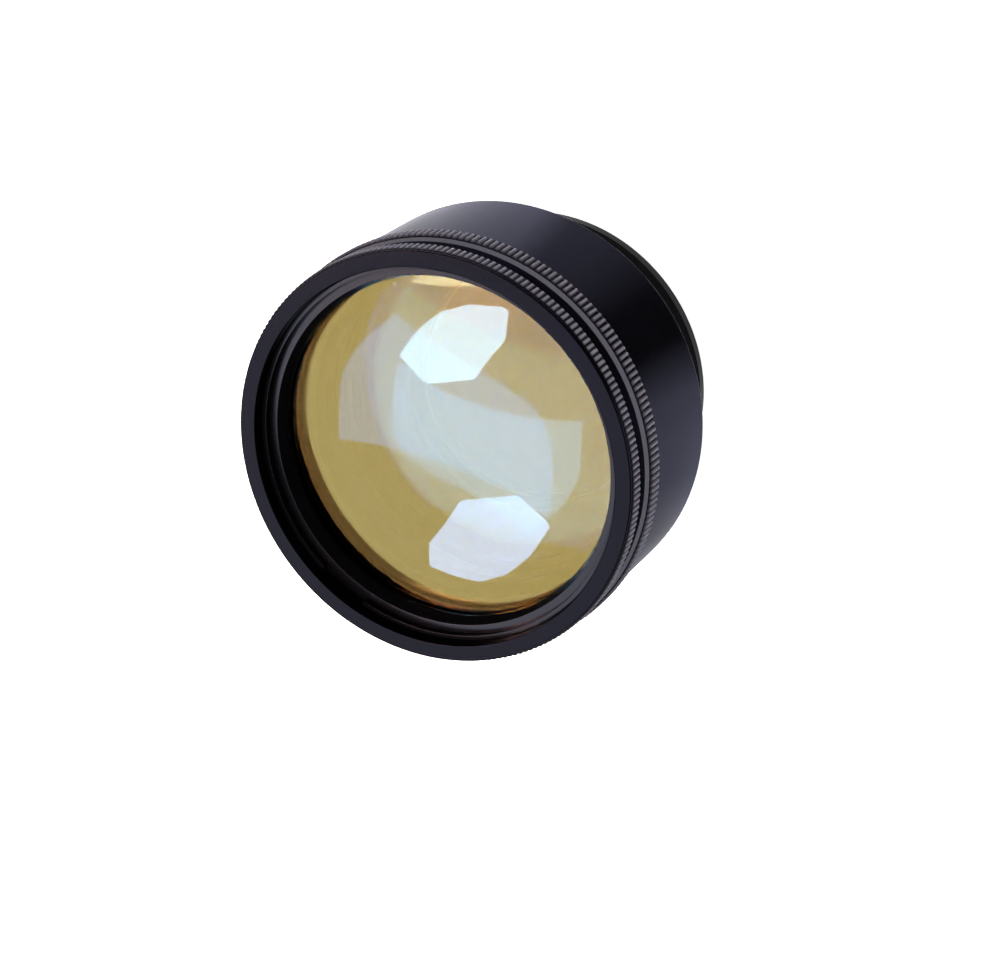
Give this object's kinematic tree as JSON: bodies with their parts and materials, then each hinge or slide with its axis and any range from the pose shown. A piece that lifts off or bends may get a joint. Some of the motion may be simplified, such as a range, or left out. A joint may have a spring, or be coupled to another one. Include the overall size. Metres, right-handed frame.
{
  "type": "f theta scan lens",
  "caption": "Scan lens with fused silica elements and a flat window in a black anodised barrel, with knurled grip bands and a threaded rear tail for a laser scan head.",
  "frame": {"origin": "on the optical axis, in the plane of the entrance end that the lens stands on", "axes": "+Z along the optical axis, out of the exit face; -Z out of the threaded tail"},
  "size_m": [0.1024, 0.1024, 0.0683],
  "materials": {
    "anodised_black": "satin black anodised aluminium, turned and knurled",
    "inner_black": "matt black anodised aluminium, fine turned",
    "coated_window": "polished fused silica with a gold-tinted anti-reflection coating",
    "coated_lens": "polished fused silica element, anti-reflection coated",
    "seal_rubber": "matt black rubber O-ring",
    "gasket_polymer": "black polymer gasket"
  },
  "bodies": {
    "root": {"barrel": "anodised_black", "window_cell": "anodised_black", "window_retaining_ring": "inner_black", "exit_lens_retaining_ring": "inner_black", "exit_lens_spacer": "inner_black", "meniscus_retaining_ring": "inner_black", "entrance_cell": "inner_black", "entrance_lens_retaining_ring": "inner_black", "protective_window": "coated_window", "exit_lens": "coated_lens", "positive_lens": "coated_lens", "meniscus_lens": "coated_lens", "entrance_lens": "coated_lens", "cell_o_ring": "seal_rubber", "window_o_ring": "seal_rubber", "entrance_cell_o_ring": "seal_rubber", "window_gasket": "gasket_polymer", "exit_lens_gasket": "gasket_polymer", "meniscus_gasket": "gasket_polymer", "entrance_lens_gasket": "gasket_polymer"}
  },
  "joints": []
}
